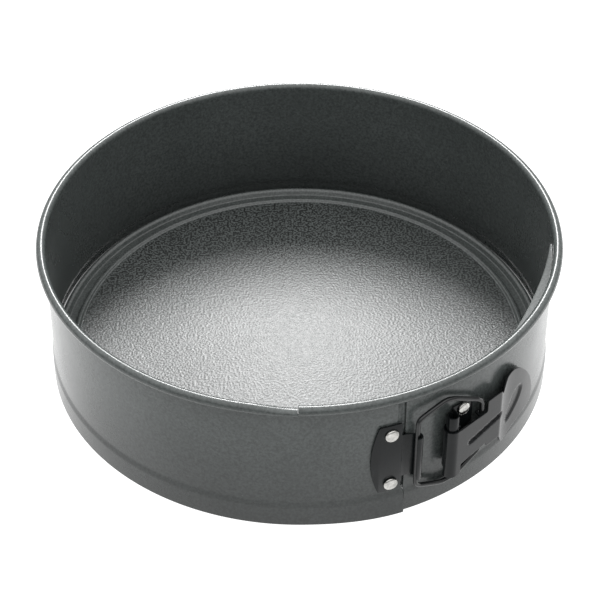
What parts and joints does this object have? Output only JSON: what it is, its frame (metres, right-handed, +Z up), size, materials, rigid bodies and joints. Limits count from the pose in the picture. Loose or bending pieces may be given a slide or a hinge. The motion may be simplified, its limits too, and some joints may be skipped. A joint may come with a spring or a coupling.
{
  "type": "springform pan",
  "caption": "Round springform pan: a rolled-rim side band closed by an over-centre lever and wire bail round a loose pressed base.",
  "frame": {"origin": "on the pan's axis, at the foot of the side band's skirt, which is the surface the pan stands on", "axes": "+Z up along the pan's axis; the latch sits round the -Y side, towards +X, with the lever's pivot 32.8 degrees round from -Y"},
  "size_m": [0.2418, 0.2418, 0.072],
  "materials": {
    "band_coating": "satin dark grey non-stick coating on steel",
    "base_coating": "fine-grained dark grey non-stick coating on steel",
    "latch_black": "semi-gloss black",
    "bail_wire": "semi-gloss black",
    "rivet_steel": "bright plated"
  },
  "bodies": {
    "base": {"base_disc": "base_coating"},
    "band": {"side_band": "band_coating", "keeper_plate": "latch_black", "keeper_rivet_upper": "rivet_steel", "keeper_rivet_lower": "rivet_steel", "hinge_plate": "latch_black", "hinge_rivet_upper": "rivet_steel", "hinge_rivet_lower": "rivet_steel"},
    "lever": {"lever": "latch_black"},
    "bail": {"wire_bail": "bail_wire"}
  },
  "joints": [
    {"name": "band_lift", "type": "slide", "parent": "base", "child": "band", "axis": [0, 0, 1], "range_m": [0, 0.09]},
    {"name": "lever_swing", "type": "hinge", "parent": "band", "child": "lever", "pos_m": [0.06582, -0.10213, 0.033], "axis": [0, 0, -1], "range_deg": [0, 70]},
    {"name": "bail_swing", "type": "hinge", "parent": "lever", "child": "bail", "pos_m": [0.07917, -0.09064, 0.033], "axis": [0, 0, -1], "range_deg": [-37, 0]}
  ],
  "couplings": [
    {"joint": "bail_swing", "follows": "lever_swing", "ratio": -0.515}
  ]
}
